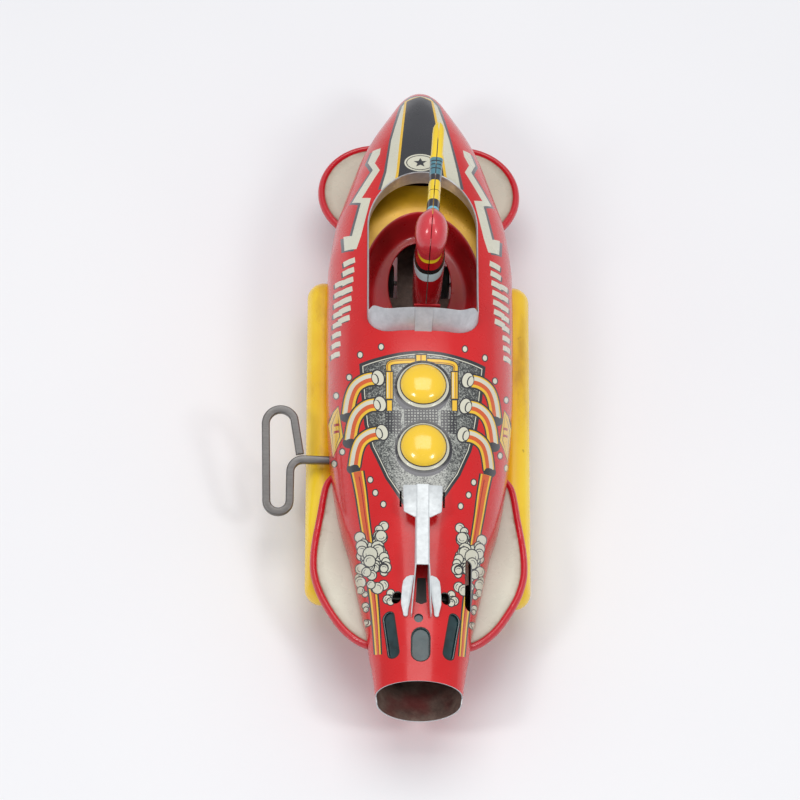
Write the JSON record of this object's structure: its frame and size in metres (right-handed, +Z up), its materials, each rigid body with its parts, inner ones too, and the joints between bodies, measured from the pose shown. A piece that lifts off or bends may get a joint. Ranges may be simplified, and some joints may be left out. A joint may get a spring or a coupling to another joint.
{
  "type": "clockwork tin space rocket",
  "caption": "Wind-up tin space rocket on wheels, with open cockpit and helmeted pilot, side pods, stamped fins, spark windows and a side winding key.",
  "frame": {"origin": "on the ground plane under the middle of the hull, in the hull's symmetry plane", "axes": "+Y forward to the nose, +Z up, +X to the right; the key is on the left, at -X"},
  "size_m": [0.1128, 0.3055, 0.0955],
  "materials": {
    "red_tin": "gloss lithographed tin",
    "yellow_tin": "gloss yellow tin",
    "fin_tin": "gloss red and cream tin",
    "silver_tin": "plain silvered tin",
    "tub_tin": "dark red enamel",
    "figure_tin": "lithographed tin",
    "film": "tinted film",
    "steel": "plain steel",
    "spring_steel": "blued spring steel",
    "brass": "stamped brass",
    "abrasive": "bonded grit disc",
    "flint": "sintered flint",
    "tyre": "black rubber"
  },
  "bodies": {
    "hull": {"upper_shell": "red_tin", "lower_shell": "red_tin", "cockpit_rim": "silver_tin", "cockpit_tub": "tub_tin", "pilot_strap": "silver_tin", "pilot_left_half": "figure_tin", "pilot_right_half": "figure_tin", "spark_window_film": "film", "pod_left": "yellow_tin", "pod_right": "yellow_tin", "tail_fin": "silver_tin", "motor_plate_left": "steel", "motor_plate_right": "steel", "plate_pillars": "steel", "motor_strap_front": "silver_tin", "motor_strap_rear": "silver_tin", "flint_post": "steel", "mainspring": "spring_steel", "front_axle_bracket": "silver_tin", "front_fin_left_upper": "fin_tin", "front_fin_left_lower": "fin_tin", "front_fin_right_upper": "fin_tin", "front_fin_right_lower": "fin_tin", "rear_fin_left_upper": "fin_tin", "rear_fin_left_lower": "fin_tin", "rear_fin_right_upper": "fin_tin", "rear_fin_right_lower": "fin_tin"},
    "great": {"great_wheel": "brass", "click_pin": "steel"},
    "click": {"click": "steel"},
    "key": {"winding_key": "steel", "spring_arbor": "steel", "ratchet_wheel": "steel"},
    "second": {"second_shaft": "steel", "second_pinion": "steel", "second_wheel": "brass"},
    "drive": {"drive_axle": "steel", "drive_pinion": "steel", "drive_wheel_left": "tyre", "drive_wheel_right": "tyre"},
    "third": {"third_shaft": "steel", "third_pinion": "steel", "third_wheel": "brass"},
    "spark": {"spark_shaft": "steel", "spark_pinion": "steel", "spark_wheel": "abrasive"},
    "striker": {"flint_arm": "spring_steel", "flint": "flint"},
    "front": {"front_axle": "steel", "front_wheel_left": "tyre", "front_wheel_right": "tyre"}
  },
  "joints": [
    {"name": "drive_axle_turn", "type": "hinge", "parent": "hull", "child": "drive", "pos_m": [0, -0.06855, 0.0125], "axis": [1, 0, 0], "continuous": true},
    {"name": "second_shaft_turn", "type": "hinge", "parent": "hull", "child": "second", "pos_m": [0, -0.05505, 0.03], "axis": [1, 0, 0], "continuous": true},
    {"name": "great_wheel_turn", "type": "hinge", "parent": "hull", "child": "great", "pos_m": [0, -0.033, 0.032], "axis": [1, 0, 0], "continuous": true},
    {"name": "third_shaft_turn", "type": "hinge", "parent": "hull", "child": "third", "pos_m": [0, -0.07714, 0.031], "axis": [1, 0, 0], "continuous": true},
    {"name": "spark_shaft_turn", "type": "hinge", "parent": "hull", "child": "spark", "pos_m": [0, -0.0962, 0.036], "axis": [1, 0, 0], "continuous": true},
    {"name": "key_wind", "type": "hinge", "parent": "great", "child": "key", "pos_m": [0, -0.033, 0.032], "axis": [1, 0, 0], "continuous": true},
    {"name": "click_lift", "type": "hinge", "parent": "great", "child": "click", "pos_m": [0, -0.02657, 0.02247], "axis": [-1, 0, 0], "range_deg": [0, 12], "stiffness_Nm_per_rad": 0.002, "springref_deg": -5.73},
    {"name": "striker_lift", "type": "hinge", "parent": "hull", "child": "striker", "pos_m": [0, -0.0775, 0.0275], "axis": [-1, 0, 0], "range_deg": [0, 10], "stiffness_Nm_per_rad": 0.003, "springref_deg": -5.73},
    {"name": "front_axle_turn", "type": "hinge", "parent": "hull", "child": "front", "pos_m": [0, 0.074, 0.008], "axis": [1, 0, 0], "continuous": true}
  ],
  "couplings": [
    {"joint": "second_shaft_turn", "follows": "drive_axle_turn", "ratio": -0.25},
    {"joint": "great_wheel_turn", "follows": "drive_axle_turn", "ratio": 0.0625},
    {"joint": "third_shaft_turn", "follows": "drive_axle_turn", "ratio": 1},
    {"joint": "spark_shaft_turn", "follows": "drive_axle_turn", "ratio": -3.4545}
  ]
}
